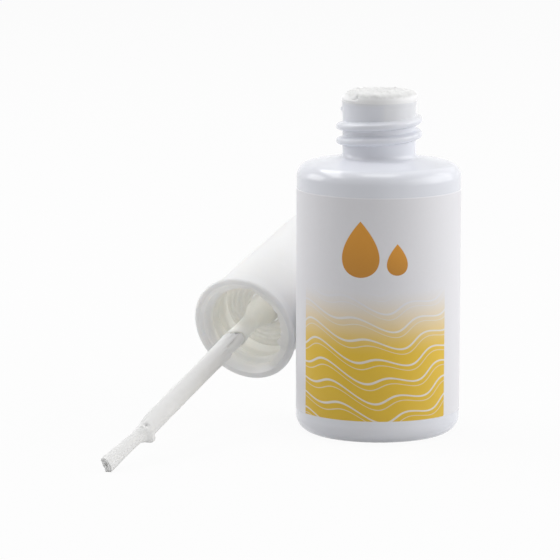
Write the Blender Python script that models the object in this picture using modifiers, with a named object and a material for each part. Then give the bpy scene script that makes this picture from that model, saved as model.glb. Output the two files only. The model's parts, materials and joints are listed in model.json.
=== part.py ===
"""Correction fluid bottle with its brush cap taken off and leaning beside it.

Units are metres, +Z is up, and the origin is the centre of the bottle's base.
"""
import math

import bmesh
import bpy
from mathutils import Matrix, Vector

MM = 0.001

# Bottle
BODY_DIAMETER = 28.0 * MM
BODY_WALL = 1.1 * MM
BODY_STRAIGHT_TOP = 44.0 * MM
BASE_CORNER = 3.0 * MM
SHOULDER_EDGE = 2.4 * MM
SHOULDER_SLOPE = math.radians(10.0)
NECK_DIAMETER = 12.5 * MM
NECK_WALL = 1.25 * MM
NECK_LENGTH = 9.6 * MM
NECK_FILLET = 0.9 * MM
NECK_LIP_CHAMFER = 0.25 * MM

# Wrap label, in a shallow panel of the bottle's wall
PANEL_DEPTH = 0.12 * MM
PANEL_MARGIN = 0.3 * MM
LABEL_ABOVE_CORNER = 1.1 * MM
LABEL_BELOW_SHOULDER = 1.9 * MM
LABEL_THICKNESS = 0.1 * MM
LABEL_GLUE = 0.06 * MM
LABEL_SEAM = 3.0 * MM

# Wiper insert in the neck
WIPER_FLANGE_OVERHANG = 0.15 * MM
WIPER_FLANGE_HEIGHT = 1.4 * MM
WIPER_FLANGE_ROUND = 0.5 * MM
WIPER_SLEEVE_WALL = 0.9 * MM
WIPER_SLEEVE_LENGTH = 6.6 * MM
WIPER_LEAD_IN = 0.5 * MM
WIPER_ORIFICE = 4.4 * MM
WIPER_LIP = 0.7 * MM
WIPER_CONE_RISE = 1.5 * MM

# Mixing ball, loose in the bottle
BALL_DIAMETER = 6.0 * MM

# Cap shell, measured along its own axis from the mouth
CAP_LENGTH = 32.0 * MM
CAP_MOUTH_DIAMETER = 19.25 * MM
CAP_WALL_DIAMETER = 18.0 * MM
CAP_DRAFT = 0.03
CAP_FLARE = 3.2 * MM
CAP_BEAD = 0.75 * MM
CAP_TOP_EDGE = 1.3 * MM
CAP_ROOF = 1.3 * MM
CAP_SKIRT_WALL = 1.15 * MM
CAP_UPPER_WALL = 1.35 * MM
CAP_LEAD_IN = 1.1 * MM
SOCKET_WALL = 0.9 * MM
SOCKET_DEPTH = 12.0 * MM
SOCKET_PAST_LINER = 2.4 * MM
RIB_COUNT = 4
RIB_THICKNESS = 0.8 * MM

# Seal liner in the cap
LINER_THICKNESS = 1.2 * MM
LINER_DEPTH = 8.3 * MM

# Brush
STEM_DIAMETER = 3.4 * MM
STEM_CHAMFER = 0.3 * MM
TUFT_LENGTH = 11.5 * MM
TUFT_DIAMETER = 2.0 * MM
TUFT_TIP_DIAMETER = 2.3 * MM
TUFT_ROOT_DEPTH = 3.4 * MM
TUFT_TIP_SLANT = 0.25
STRAND_GRID = 13
STRAND_GAP = 0.04 * MM
STRAND_TAPER = 0.75
STAPLE_THICKNESS = 0.3 * MM
STAPLE_HEIGHT = 1.2 * MM
TIP_ABOVE_FLOOR = 0.1 * MM

# Clearances: pieces pressed or glued together, and pieces that move apart
FIT_GAP = 0.15 * MM
LOOSE_GAP = 0.3 * MM

# How the cap leans beside the bottle
LEAN_AZIMUTH = math.radians(63.1)
LEAN_ELEVATION = math.radians(17.75)
LEAN_REACH = 4.2 * MM
LEAN_GAP = 0.9 * MM

# Facets
BODY_STEPS = 56
CAP_STEPS = 44
WIPER_STEPS = 32
STEM_STEPS = 20
ARC_STEPS = 5

# Radii and heights that follow from the sizes above
BODY_RADIUS = BODY_DIAMETER / 2
NECK_RADIUS = NECK_DIAMETER / 2
NECK_BORE = NECK_RADIUS - NECK_WALL
PANEL_RADIUS = BODY_RADIUS - PANEL_DEPTH
LABEL_RADIUS = PANEL_RADIUS + LABEL_GLUE
LABEL_BOTTOM = BASE_CORNER + LABEL_ABOVE_CORNER
LABEL_TOP = BODY_STRAIGHT_TOP - LABEL_BELOW_SHOULDER
EDGE_CENTRE = BODY_RADIUS - SHOULDER_EDGE
SHOULDER_RISE = math.tan(SHOULDER_SLOPE)
SHOULDER_START = EDGE_CENTRE + SHOULDER_EDGE * math.sin(SHOULDER_SLOPE)
SHOULDER_START_Z = BODY_STRAIGHT_TOP + SHOULDER_EDGE * math.cos(SHOULDER_SLOPE)
NECK_BASE = SHOULDER_START_Z + (SHOULDER_START - NECK_RADIUS) * SHOULDER_RISE
NECK_TOP = NECK_BASE + NECK_LENGTH
FLANGE_BOTTOM = NECK_TOP + FIT_GAP
RIM_TOP = FLANGE_BOTTOM + WIPER_FLANGE_HEIGHT
STEM_RADIUS = STEM_DIAMETER / 2
SOCKET_BORE = STEM_RADIUS + FIT_GAP
SOCKET_RADIUS = SOCKET_BORE + SOCKET_WALL
LINER_SEAT = LINER_DEPTH + LINER_THICKNESS + LOOSE_GAP
SOCKET_END = LINER_DEPTH - SOCKET_PAST_LINER
SOCKET_FLOOR = SOCKET_END + SOCKET_DEPTH
BRUSH_REACH = RIM_TOP - BODY_WALL - TIP_ABOVE_FLOOR - LINER_DEPTH
STEM_END = BRUSH_REACH - TUFT_LENGTH
TUFT_BORE = TUFT_DIAMETER / 2 + FIT_GAP
TUFT_BORE_DEPTH = TUFT_ROOT_DEPTH + FIT_GAP + STAPLE_HEIGHT + FIT_GAP


def cap_outside(depth):
    """Outer radius of the cap's drafted wall, at a depth from the mouth."""
    return CAP_WALL_DIAMETER / 2 - CAP_DRAFT * depth


CAP_BORE = cap_outside(CAP_FLARE) - CAP_SKIRT_WALL


def clear_scene():
    for thing in list(bpy.data.objects):
        bpy.data.objects.remove(thing)


def new_collection(name):
    collection = bpy.data.collections.new(name)
    bpy.context.scene.collection.children.link(collection)
    return collection


def finish_material(name, colour, roughness, metallic=0.0):
    material = bpy.data.materials.new(name)
    material.use_nodes = True
    shader = material.node_tree.nodes["Principled BSDF"]
    shader.inputs["Base Color"].default_value = (*colour, 1.0)
    shader.inputs["Roughness"].default_value = roughness
    shader.inputs["Metallic"].default_value = metallic
    return material


def add_object(name, mesh, collection, material=None, parent=None):
    thing = bpy.data.objects.new(name, mesh)
    collection.objects.link(thing)
    thing.parent = parent
    if material:
        mesh.materials.append(material)
    return thing


def arc(centre_r, centre_z, radius, start, end, steps=ARC_STEPS):
    """Points of a circular arc in the profile plane, angles in degrees from +r."""
    points = []
    for step in range(steps + 1):
        angle = math.radians(start + (end - start) * step / steps)
        points.append((centre_r + radius * math.cos(angle), centre_z + radius * math.sin(angle)))
    return points


def profile_mesh(name, points, closed):
    """Edges of a profile in the XZ plane, drawn down its outer side."""
    count = len(points)
    edges = [(index, index + 1) for index in range(count - 1)]
    if closed:
        edges.append((count - 1, 0))
    mesh = bpy.data.meshes.new(name)
    mesh.from_pydata([(r, 0.0, z) for r, z in points], edges, [])
    return mesh


def turned(name, points, steps, collection, material, closed=False, parent=None):
    """A turned piece: its profile swept round Z by a Screw modifier."""
    thing = add_object(name, profile_mesh(name, points, closed), collection, material, parent)
    screw = thing.modifiers.new("turn", "SCREW")
    screw.axis = "Z"
    screw.steps = steps
    screw.render_steps = steps
    screw.use_merge_vertices = True
    screw.merge_threshold = 0.000001
    screw.use_smooth_shade = True
    return thing


def bottle_outline():
    """Whole section of the bottle: up its inside from the floor, then down its outside."""
    slope = math.degrees(SHOULDER_SLOPE)
    inner_edge = SHOULDER_EDGE - BODY_WALL
    inner_base = NECK_BASE + (NECK_RADIUS - NECK_BORE) * SHOULDER_RISE
    inner_neck = inner_base - BODY_WALL / math.cos(SHOULDER_SLOPE)
    fillet_centre = NECK_RADIUS + NECK_FILLET
    fillet_drop = NECK_FILLET / math.cos(SHOULDER_SLOPE) - NECK_FILLET * SHOULDER_RISE
    fillet_z = NECK_BASE + fillet_drop
    panel_top = LABEL_TOP + PANEL_MARGIN
    panel_bottom = LABEL_BOTTOM - PANEL_MARGIN
    points = [(0.0, BODY_WALL)]
    points += arc(BODY_RADIUS - BASE_CORNER, BASE_CORNER, BASE_CORNER - BODY_WALL, -90, 0)
    points += arc(EDGE_CENTRE, BODY_STRAIGHT_TOP, inner_edge, 0, 90 - slope)
    points += [(NECK_BORE, inner_neck), (NECK_BORE, NECK_TOP)]
    points += [(NECK_RADIUS - NECK_LIP_CHAMFER, NECK_TOP), (NECK_RADIUS, NECK_TOP - NECK_LIP_CHAMFER)]
    points += arc(fillet_centre, fillet_z, NECK_FILLET, 180, 270 - slope)
    points += arc(EDGE_CENTRE, BODY_STRAIGHT_TOP, SHOULDER_EDGE, 90 - slope, 0)
    points += [(BODY_RADIUS, panel_top + PANEL_DEPTH), (PANEL_RADIUS, panel_top)]
    points += [(PANEL_RADIUS, panel_bottom), (BODY_RADIUS, panel_bottom - PANEL_DEPTH)]
    points += arc(BODY_RADIUS - BASE_CORNER, BASE_CORNER, BASE_CORNER, 0, -90)
    points.append((0.0, 0.0))
    return points


def wiper_outline():
    """Closed section of the insert: flange, sleeve, lip and the cone that scrapes the stem."""
    flange = NECK_RADIUS + WIPER_FLANGE_OVERHANG
    sleeve = NECK_BORE - FIT_GAP
    inside = sleeve - WIPER_SLEEVE_WALL
    bottom = FLANGE_BOTTOM - WIPER_SLEEVE_LENGTH
    orifice = WIPER_ORIFICE / 2
    round_z = RIM_TOP - WIPER_FLANGE_ROUND
    points = [(inside + WIPER_FLANGE_ROUND, RIM_TOP)]
    points += arc(flange - WIPER_FLANGE_ROUND, round_z, WIPER_FLANGE_ROUND, 90, 0, 3)
    points += [(flange, FLANGE_BOTTOM), (sleeve, FLANGE_BOTTOM)]
    points += [(sleeve, bottom + WIPER_LEAD_IN), (sleeve - WIPER_LEAD_IN, bottom)]
    points += [(orifice, bottom), (orifice, bottom + WIPER_LIP)]
    points += [(inside, bottom + WIPER_LIP + WIPER_CONE_RISE), (inside, round_z)]
    return points


def cap_outline():
    """Section of the cap: down its outside from the roof, up its inside to the stem's socket."""
    top = cap_outside(CAP_LENGTH)
    bead_centre = CAP_MOUTH_DIAMETER / 2 - CAP_BEAD
    upper_seat = cap_outside(LINER_SEAT) - CAP_UPPER_WALL
    upper_roof = cap_outside(CAP_LENGTH - CAP_ROOF) - CAP_UPPER_WALL
    ceiling = CAP_LENGTH - CAP_ROOF
    flare = CAP_FLARE - CAP_BEAD
    swell = CAP_MOUTH_DIAMETER / 2 - cap_outside(CAP_FLARE)
    points = [(0.0, CAP_LENGTH)]
    points += arc(top - CAP_TOP_EDGE, CAP_LENGTH - CAP_TOP_EDGE, CAP_TOP_EDGE, 90, 0)
    for step in range(ARC_STEPS):
        share = step / ARC_STEPS
        points.append((cap_outside(CAP_FLARE) + swell * share * share, CAP_FLARE - flare * share))
    points += arc(bead_centre, CAP_BEAD, CAP_BEAD, 0, -90)
    points += [(CAP_BORE + CAP_LEAD_IN / 2, CAP_BEAD / 2), (CAP_BORE, CAP_BEAD / 2 + CAP_LEAD_IN)]
    points += [(CAP_BORE, LINER_SEAT), (upper_seat, LINER_SEAT), (upper_roof, ceiling)]
    points += [(SOCKET_RADIUS, ceiling), (SOCKET_RADIUS, SOCKET_END), (SOCKET_BORE, SOCKET_END)]
    points += [(SOCKET_BORE, SOCKET_FLOOR), (0.0, SOCKET_FLOOR)]
    return points


def liner_outline():
    """Closed section of the loose ring between the socket and the cap's wall."""
    inside = SOCKET_RADIUS + LOOSE_GAP
    outside = CAP_BORE - LOOSE_GAP
    top = LINER_DEPTH + LINER_THICKNESS
    return [(inside, top), (outside, top), (outside, LINER_DEPTH), (inside, LINER_DEPTH)]


def stem_outline():
    """Section of the rod: from its end in the socket down to the bore that holds the tuft."""
    top = SOCKET_FLOOR - FIT_GAP
    edge = STEM_RADIUS - STEM_CHAMFER
    bore_floor = TUFT_BORE_DEPTH - STEM_END
    points = [(0.0, top), (edge, top), (STEM_RADIUS, top - STEM_CHAMFER)]
    points += [(STEM_RADIUS, STEM_CHAMFER - STEM_END), (edge, -STEM_END), (TUFT_BORE, -STEM_END)]
    points += [(TUFT_BORE, bore_floor), (0.0, bore_floor)]
    return points


def make_label(collection, material):
    """A thin sheet wrapped round the panel, open along a seam at the back."""
    seam_angle = LABEL_SEAM / LABEL_RADIUS
    points = [(LABEL_RADIUS, LABEL_TOP), (LABEL_RADIUS, LABEL_BOTTOM)]
    label = turned("wrap_label", points, BODY_STEPS, collection, material)
    screw = label.modifiers["turn"]
    screw.angle = 2 * math.pi - seam_angle
    screw.use_merge_vertices = False
    paper = label.modifiers.new("paper", "SOLIDIFY")
    paper.thickness = LABEL_THICKNESS
    paper.offset = 1.0
    label.rotation_euler.z = math.pi / 2 + seam_angle / 2
    return label


def make_ball(collection, material):
    """The steel ball, resting in the middle of the bottle's floor."""
    mesh = bpy.data.meshes.new("mixing_ball")
    shape = bmesh.new()
    bmesh.ops.create_uvsphere(shape, u_segments=20, v_segments=12, radius=BALL_DIAMETER / 2)
    shape.to_mesh(mesh)
    shape.free()
    mesh.shade_smooth()
    ball = add_object("mixing_ball", mesh, collection, material)
    ball.location.z = BODY_WALL + LOOSE_GAP + BALL_DIAMETER / 2
    return ball


def wand_axis(collection):
    """The empty at the cap's mouth: local +Z runs from the brush's tip to the cap's closed end."""
    nearest = BODY_RADIUS + LEAN_GAP + cap_outside(LEAN_REACH)
    along = Vector((math.cos(LEAN_AZIMUTH), math.sin(LEAN_AZIMUTH), 0.0))
    aside = Vector((-math.sin(LEAN_AZIMUTH), math.cos(LEAN_AZIMUTH), 0.0))
    axis = along * math.cos(LEAN_ELEVATION) + Vector((0.0, 0.0, math.sin(LEAN_ELEVATION)))
    mouth = aside * nearest - along * LEAN_REACH * math.cos(LEAN_ELEVATION)
    tip_height = TUFT_TIP_DIAMETER / 2 * math.cos(LEAN_ELEVATION) + FIT_GAP
    mouth.z = tip_height + BRUSH_REACH * math.sin(LEAN_ELEVATION)
    turn = Matrix((aside, axis.cross(aside), axis)).transposed()
    empty = bpy.data.objects.new("wand_axis", None)
    collection.objects.link(empty)
    empty.matrix_world = Matrix.Translation(mouth) @ turn.to_4x4()
    return empty


def make_cap(collection, cutters, material, parent):
    """The cap's turned shell, joined to the ribs that carry the liner."""
    cap = turned("cap_shell", cap_outline(), CAP_STEPS, collection, material, parent=parent)
    ceiling = CAP_LENGTH - CAP_ROOF / 2
    inner = (SOCKET_BORE + SOCKET_RADIUS) / 2
    outer = cap_outside(ceiling) - CAP_UPPER_WALL / 2
    for index in range(RIB_COUNT):
        shape = bmesh.new()
        bmesh.ops.create_cube(shape, size=1.0)
        size = Vector((outer - inner, RIB_THICKNESS, ceiling - LINER_SEAT))
        bmesh.ops.scale(shape, vec=size, verts=shape.verts)
        middle = Vector(((outer + inner) / 2, 0.0, (ceiling + LINER_SEAT) / 2))
        bmesh.ops.translate(shape, vec=middle, verts=shape.verts)
        turn = Matrix.Rotation(2 * math.pi * (index + 0.5) / RIB_COUNT, 3, "Z")
        bmesh.ops.rotate(shape, matrix=turn, verts=shape.verts)
        mesh = bpy.data.meshes.new("cap_rib")
        shape.to_mesh(mesh)
        shape.free()
        rib = add_object(f"cap_rib_{index}", mesh, cutters, parent=parent)
        rib.hide_render = True
        rib.display_type = "WIRE"
        union = cap.modifiers.new(f"rib_{index}", "BOOLEAN")
        union.operation = "UNION"
        union.object = rib
    return cap


def disc_from_square(x, y):
    """Maps a point of the square -1..1 onto the unit disc, with rings of the square as circles."""
    if x == 0 and y == 0:
        return 0.0, 0.0
    if abs(x) > abs(y):
        radius = x
        angle = math.pi / 4 * y / x
    else:
        radius = y
        angle = math.pi / 2 - math.pi / 4 * x / y
    return radius * math.cos(angle), radius * math.sin(angle)


def make_tuft(collection, material, parent):
    """Strands drawn out of the end face of the folded root, flaring to a slanted cut."""
    root = TUFT_DIAMETER / 2
    flare = TUFT_TIP_DIAMETER / TUFT_DIAMETER
    shape = bmesh.new()
    bmesh.ops.create_grid(shape, x_segments=STRAND_GRID, y_segments=STRAND_GRID, size=1.0)
    for vert in shape.verts:
        x, y = disc_from_square(vert.co.x, vert.co.y)
        vert.co = Vector((x * root, y * root, -STEM_END))
    end_faces = list(shape.faces)
    folded = bmesh.ops.extrude_face_region(shape, geom=end_faces, use_keep_orig=True)["geom"]
    top_verts = [item for item in folded if isinstance(item, bmesh.types.BMVert)]
    top_faces = [item for item in folded if isinstance(item, bmesh.types.BMFace)]
    bmesh.ops.translate(shape, vec=Vector((0.0, 0.0, TUFT_ROOT_DEPTH)), verts=top_verts)
    bmesh.ops.dissolve_faces(shape, faces=top_faces)
    cells = bmesh.ops.triangulate(shape, faces=end_faces)["faces"]
    bmesh.ops.inset_individual(shape, faces=cells, thickness=STRAND_GAP / 2, use_even_offset=True)
    strands = bmesh.ops.extrude_discrete_faces(shape, faces=cells)["faces"]
    for strand in strands:
        middle = strand.calc_center_median()
        length = TUFT_LENGTH + TUFT_TIP_SLANT * (middle.x - root)
        target = Vector((middle.x * flare, middle.y * flare, middle.z - length))
        for vert in strand.verts:
            vert.co = target + (vert.co - middle) * STRAND_TAPER
    bmesh.ops.recalc_face_normals(shape, faces=shape.faces)
    mesh = bpy.data.meshes.new("bristle_tuft")
    shape.to_mesh(mesh)
    shape.free()
    return add_object("bristle_tuft", mesh, collection, material, parent)


def make_staple(collection, material, parent):
    """The flat metal plate driven across the bore above the folded strands."""
    width = 2 * (TUFT_BORE - FIT_GAP)
    middle = TUFT_ROOT_DEPTH + FIT_GAP + STAPLE_HEIGHT / 2 - STEM_END
    mesh = bpy.data.meshes.new("tuft_staple")
    shape = bmesh.new()
    bmesh.ops.create_cube(shape, size=1.0)
    bmesh.ops.scale(shape, vec=Vector((width, STAPLE_THICKNESS, STAPLE_HEIGHT)), verts=shape.verts)
    bmesh.ops.translate(shape, vec=Vector((0.0, 0.0, middle)), verts=shape.verts)
    shape.to_mesh(mesh)
    shape.free()
    return add_object("tuft_staple", mesh, collection, material, parent)


def main():
    clear_scene()
    parts = new_collection("correction_fluid_bottle")
    cutters = new_collection("joining_shapes")
    bottle_plastic = finish_material("bottle_plastic", (0.80, 0.81, 0.86), 0.30)
    label_paper = finish_material("label_paper", (0.83, 0.82, 0.80), 0.45)
    wiper_plastic = finish_material("wiper_plastic", (0.86, 0.86, 0.84), 0.45)
    cap_plastic = finish_material("cap_plastic", (0.90, 0.90, 0.90), 0.40)
    liner_foam = finish_material("liner_foam", (0.82, 0.80, 0.72), 0.70)
    stem_plastic = finish_material("stem_plastic", (0.84, 0.83, 0.81), 0.50)
    bristle_nylon = finish_material("bristle_nylon", (0.86, 0.86, 0.87), 0.55)
    steel = finish_material("steel", (0.62, 0.62, 0.63), 0.25, 1.0)

    turned("bottle_body", bottle_outline(), BODY_STEPS, parts, bottle_plastic)
    make_label(parts, label_paper)
    turned("neck_wiper", wiper_outline(), WIPER_STEPS, parts, wiper_plastic, closed=True)
    make_ball(parts, steel)

    wand = wand_axis(parts)
    make_cap(parts, cutters, cap_plastic, wand)
    turned("seal_liner", liner_outline(), CAP_STEPS, parts, liner_foam, closed=True, parent=wand)
    turned("brush_stem", stem_outline(), STEM_STEPS, parts, stem_plastic, parent=wand)
    make_staple(parts, steel, wand)
    make_tuft(parts, bristle_nylon, wand)


main()
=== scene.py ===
"""Dresses the packed correction fluid bottle: its plastic, label, brush cap and the fluid dried on them."""
import json
import math
import random
from functools import cached_property

import bpy
from bpy.props import FloatProperty, FloatVectorProperty, IntProperty, PointerProperty
from bpy.types import Operator, Panel, PropertyGroup
from mathutils import Matrix, Vector, noise


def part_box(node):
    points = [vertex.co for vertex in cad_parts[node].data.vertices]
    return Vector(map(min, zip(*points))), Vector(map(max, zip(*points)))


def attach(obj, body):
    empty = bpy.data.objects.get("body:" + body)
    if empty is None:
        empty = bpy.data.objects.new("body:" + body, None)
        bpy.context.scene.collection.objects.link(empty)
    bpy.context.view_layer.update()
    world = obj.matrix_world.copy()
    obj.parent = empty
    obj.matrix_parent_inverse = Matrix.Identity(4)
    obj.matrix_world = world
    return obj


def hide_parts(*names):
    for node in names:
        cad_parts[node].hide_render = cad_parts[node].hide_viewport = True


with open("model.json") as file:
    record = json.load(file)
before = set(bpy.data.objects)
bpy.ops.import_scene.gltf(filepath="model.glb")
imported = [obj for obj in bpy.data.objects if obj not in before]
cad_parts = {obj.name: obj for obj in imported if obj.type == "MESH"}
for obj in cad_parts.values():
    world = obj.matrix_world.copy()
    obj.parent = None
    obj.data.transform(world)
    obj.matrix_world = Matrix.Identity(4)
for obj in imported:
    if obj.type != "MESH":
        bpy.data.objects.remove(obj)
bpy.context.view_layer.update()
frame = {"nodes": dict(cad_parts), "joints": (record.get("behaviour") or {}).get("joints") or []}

bl_info = {
    "name": "Correction Fluid Bottle",
    "version": (1, 0, 0),
    "blender": (4, 5, 0),
    "location": "3D View > Sidebar > Bottle",
    "description": "Dresses the packed correction fluid bottle and its brush cap",
    "category": "Object",
}

MM = 0.001
BODY_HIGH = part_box("bottle_body")[1]
LABEL_LOW, LABEL_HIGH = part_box("wrap_label")
RIM_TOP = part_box("neck_wiper")[1].z
SHARP_ANGLE = math.radians(40)
ON_AXIS = 1e-9
WHITE = (1.0, 1.0, 1.0)
# Most of a noise texture's values lie between these
NOISE_LOW, NOISE_HIGH = 0.3, 0.7
# Highest value of a drop's outline, the root of its height times what is left above
DROP_PEAK = 0.385

# The cap's turning joint gives the brush's own axis, from the tip to the cap's closed end
TURN = next(joint for joint in frame["joints"] if joint["name"] == "cap_turn")
WAND_AXIS = -Vector(TURN["axis"]).normalized()
WAND_ASIDE = Vector((0.0, 0.0, 1.0)).cross(WAND_AXIS).normalized()
WAND_TURN = Matrix((WAND_ASIDE, WAND_AXIS.cross(WAND_ASIDE), WAND_AXIS)).transposed()
WAND = Matrix.Translation(Vector(TURN["pos_m"])) @ WAND_TURN.to_4x4()


def number(name, description, default, **settings):
    return FloatProperty(name=name, description=description, default=default, **settings)


def length(name, description, mm):
    """A size, given in mm and kept in metres."""
    return number(name, description, mm * MM, min=0.0, precision=5, subtype="DISTANCE", unit="LENGTH")


def angle(name, description, degrees):
    return number(name, description, math.radians(degrees), subtype="ANGLE", unit="ROTATION")


def colour(name, description, default):
    return FloatVectorProperty(
        name=name, description=description, default=default, min=0.0, max=1.0, size=3, subtype="COLOR"
    )


class BottleSizes(PropertyGroup):
    """The blown bottle and its screw neck"""

    diameter: length("Diameter", "Outside of the straight wall", 2 * BODY_HIGH.x / MM)
    wall: length("Wall", "Thickness of the bottle's wall", 1.1)
    base_corner: length("Base corner", "Rounding between the wall and the base", 3.0)
    straight_top: length("Straight top", "Height where the wall turns into the shoulder", 44.0)
    shoulder_edge: length("Shoulder edge", "Rounding between the wall and the shoulder", 2.4)
    shoulder_slope: angle("Shoulder slope", "Rise of the shoulder towards the neck", 10.0)
    neck: length("Neck", "Outside of the neck below its thread", 12.5)
    neck_wall: length("Neck wall", "Thickness of the neck", 1.25)
    neck_top: length("Neck top", "Height of the neck's end", BODY_HIGH.z / MM)
    neck_fillet: length("Neck fillet", "Rounding between the shoulder and the neck", 0.9)
    film: length("Film", "Dried fluid on the neck above the thread", 0.1)
    film_depth: length("Film depth", "How far that film reaches down from the neck's end", 3.4)
    plastic: colour("Plastic", "Colour of the bottle", (0.79, 0.805, 0.862))
    film_colour: colour("Film colour", "Colour of the dried film on the neck", (0.80, 0.805, 0.825))


class ThreadSizes(PropertyGroup):
    """The screw thread of the neck and of the cap"""

    pitch: length("Pitch", "Rise of the thread in one turn", 2.45)
    height: length("Height", "How far the neck's thread stands out", 1.05)
    width: length("Width", "Width of the neck's thread at its foot", 1.65)
    left_crest: length("Left crest", "Height of the lowest crest on the bottle's left side", 50.1)
    start: angle("Start", "Where the neck's thread runs in, round the neck", 95.0)
    end: angle("End", "Where the neck's thread runs out, round the neck", 830.0)
    run_out: angle("Run-out", "Turn over which the thread fades at each end", 60.0)
    cap_height: length("Cap height", "How far the cap's thread stands in", 0.8)
    cap_width: length("Cap width", "Width of the cap's thread at its foot", 1.7)
    cap_depth: length("Cap depth", "Distance from the mouth to the cap's thread", 1.1)
    cap_start: angle("Cap start", "Where the cap's thread runs in, round the cap", 300.0)
    cap_turns: number("Cap turns", "Turns of the cap's thread", 2.9, min=0.5)


class LabelPrint(PropertyGroup):
    """The wrap label and its print"""

    radius: length("Radius", "Outer face of the label", LABEL_HIGH.x / MM)
    thickness: length("Thickness", "Thickness of the paper", 0.1)
    bottom: length("Bottom", "Lower edge of the label", LABEL_LOW.z / MM)
    top: length("Top", "Upper edge of the label", LABEL_HIGH.z / MM)
    seam: length("Seam", "Gap between the label's ends, at the back", 3.0)
    paper: colour("Paper", "Unprinted paper", (0.785, 0.78, 0.81))
    gold: colour("Gold", "Printed panel", (0.73, 0.48, 0.035))
    amber: colour("Amber", "Printed drops", (0.60, 0.26, 0.025))


class WiperSizes(PropertyGroup):
    """The insert in the neck and the crust on its rim"""

    overhang: length("Overhang", "How far the flange stands past the neck", 0.15)
    flange: length("Flange", "Height of the flange", 1.4)
    flange_round: length("Flange rounding", "Rounding of the flange's outer edge", 1.15)
    sleeve_wall: length("Sleeve wall", "Thickness of the sleeve", 0.9)
    sleeve: length("Sleeve", "Length of the sleeve below the flange", 6.6)
    orifice: length("Orifice", "Hole that scrapes the stem", 4.4)
    lip: length("Lip", "Height of the orifice's wall", 0.7)
    cone: length("Cone", "Rise of the cone over the lip", 1.5)
    fit: length("Fit", "Gap between the sleeve and the neck", 0.15)
    crust: length("Crust", "Thickest part of the dried fluid on the rim", 0.18)
    skin_hole: length("Skin hole", "Hole in the dried skin over the mouth", 3.9)
    plastic: colour("Plastic", "Colour of the insert", (0.905, 0.905, 0.91))


class CapSizes(PropertyGroup):
    """The cap shell and its seal liner, measured from the mouth"""

    length: length("Length", "Mouth to closed end", 32.0)
    mouth: length("Mouth", "Outside of the flared mouth", 19.25)
    wall_diameter: length("Wall diameter", "Outside of the wall at the mouth, without the flare", 18.0)
    draft: number("Draft", "Loss of radius for each unit of length", 0.03, min=0.0, max=1.0, subtype="FACTOR")
    flare: length("Flare", "Length of the flare", 3.2)
    bead: length("Bead", "Rounding of the mouth's edge", 0.42)
    top_edge: length("Top edge", "Rounding of the closed end", 1.3)
    roof: length("Roof", "Thickness of the closed end", 1.3)
    skirt_wall: length("Skirt wall", "Thickness of the threaded wall", 1.15)
    upper_wall: length("Upper wall", "Thickness of the wall above the liner", 1.35)
    lead_in: length("Lead-in", "Length of the curve inside the mouth", 1.6)
    socket: length("Socket", "Outside of the tube that holds the stem", 5.5)
    socket_bore: length("Socket bore", "Inside of that tube", 3.7)
    socket_end: length("Socket end", "Distance from the mouth to that tube", 5.9)
    socket_floor: length("Socket floor", "Distance from the mouth to the end of its bore", 17.9)
    liner_depth: length("Liner depth", "Distance from the mouth to the seal liner", 8.3)
    liner: length("Liner", "Thickness of the seal liner", 1.2)
    liner_gap: length("Liner gap", "Room round the seal liner", 0.3)
    plastic: colour("Plastic", "Colour of the cap", (0.81, 0.81, 0.81))
    # Painted glow: the cream inside the cap is partly a stain, and it and the liner's foam are painted paler
    # than the cap's outside, standing in for light that passes through the thin wall and the closed end
    stain_and_glow: colour("Stain", "Cream tint deep inside the cap", (0.94, 0.925, 0.865))
    foam: colour("Foam", "Colour of the seal liner", (0.945, 0.93, 0.87))
    crust: colour("Crust", "Colour of the fluid dried inside the mouth", (0.90, 0.895, 0.875))


class BrushSizes(PropertyGroup):
    """The stem, its tuft and the fluid dried on them, measured from the cap's mouth"""

    stem: length("Stem", "Diameter of the stem", 3.4)
    stem_end: length("Stem end", "Mouth to the stem's end", 37.53)
    stem_chamfer: length("Stem chamfer", "Chamfer of the stem's end in the cap", 0.3)
    stem_point: length("Stem point", "Length of the stem's tapered end at the tuft", 3.1)
    tuft_bore: length("Tuft bore", "Diameter of the hole that holds the tuft", 2.3)
    tuft_bore_depth: length("Tuft bore depth", "Depth of that hole", 4.9)
    tuft_root: length("Tuft root", "How far the strands start inside the hole", 3.4)
    tip: length("Tip", "Mouth to the strands' tips", 50.35)
    tip_hollow: length("Tip hollow", "Depth of the hollow in the tuft's end", 0.55)
    tuft_bend: length("Tuft bend", "How far the tuft's tip is bent up off the table", 0.45)
    slant: number("Slant", "Slope of the tuft's end", 0.62)
    slant_turn: angle("Slant direction", "Side of the tuft that reaches furthest", 170.0)
    tuft: length("Tuft", "Diameter of the tuft at the stem", 2.0)
    tuft_tip: length("Tuft tip", "Diameter of the tuft at its tip", 2.65)
    strand: length("Strand", "Thickness of one strand", 0.1)
    strands: IntProperty(name="Strands", description="Number of strands", default=440, min=1)
    coat: length("Coat", "Usual thickness of the dried coat on the stem", 0.2)
    coat_start: length("Coat start", "Mouth to the highest point of the coat's torn edge", 3.95)
    collar: length("Collar", "Thickness of the fluid above the crack", 0.22)
    sunk: length("Sunk", "How far the coat and the collar reach into the rod", 0.05)
    plastic: colour("Plastic", "Colour of the stem", (0.83, 0.83, 0.815))
    nylon: colour("Nylon", "Colour of the strands", (0.80, 0.80, 0.82))
    fluid: colour("Fluid", "Colour of the dried fluid", (0.811, 0.811, 0.806))


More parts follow.
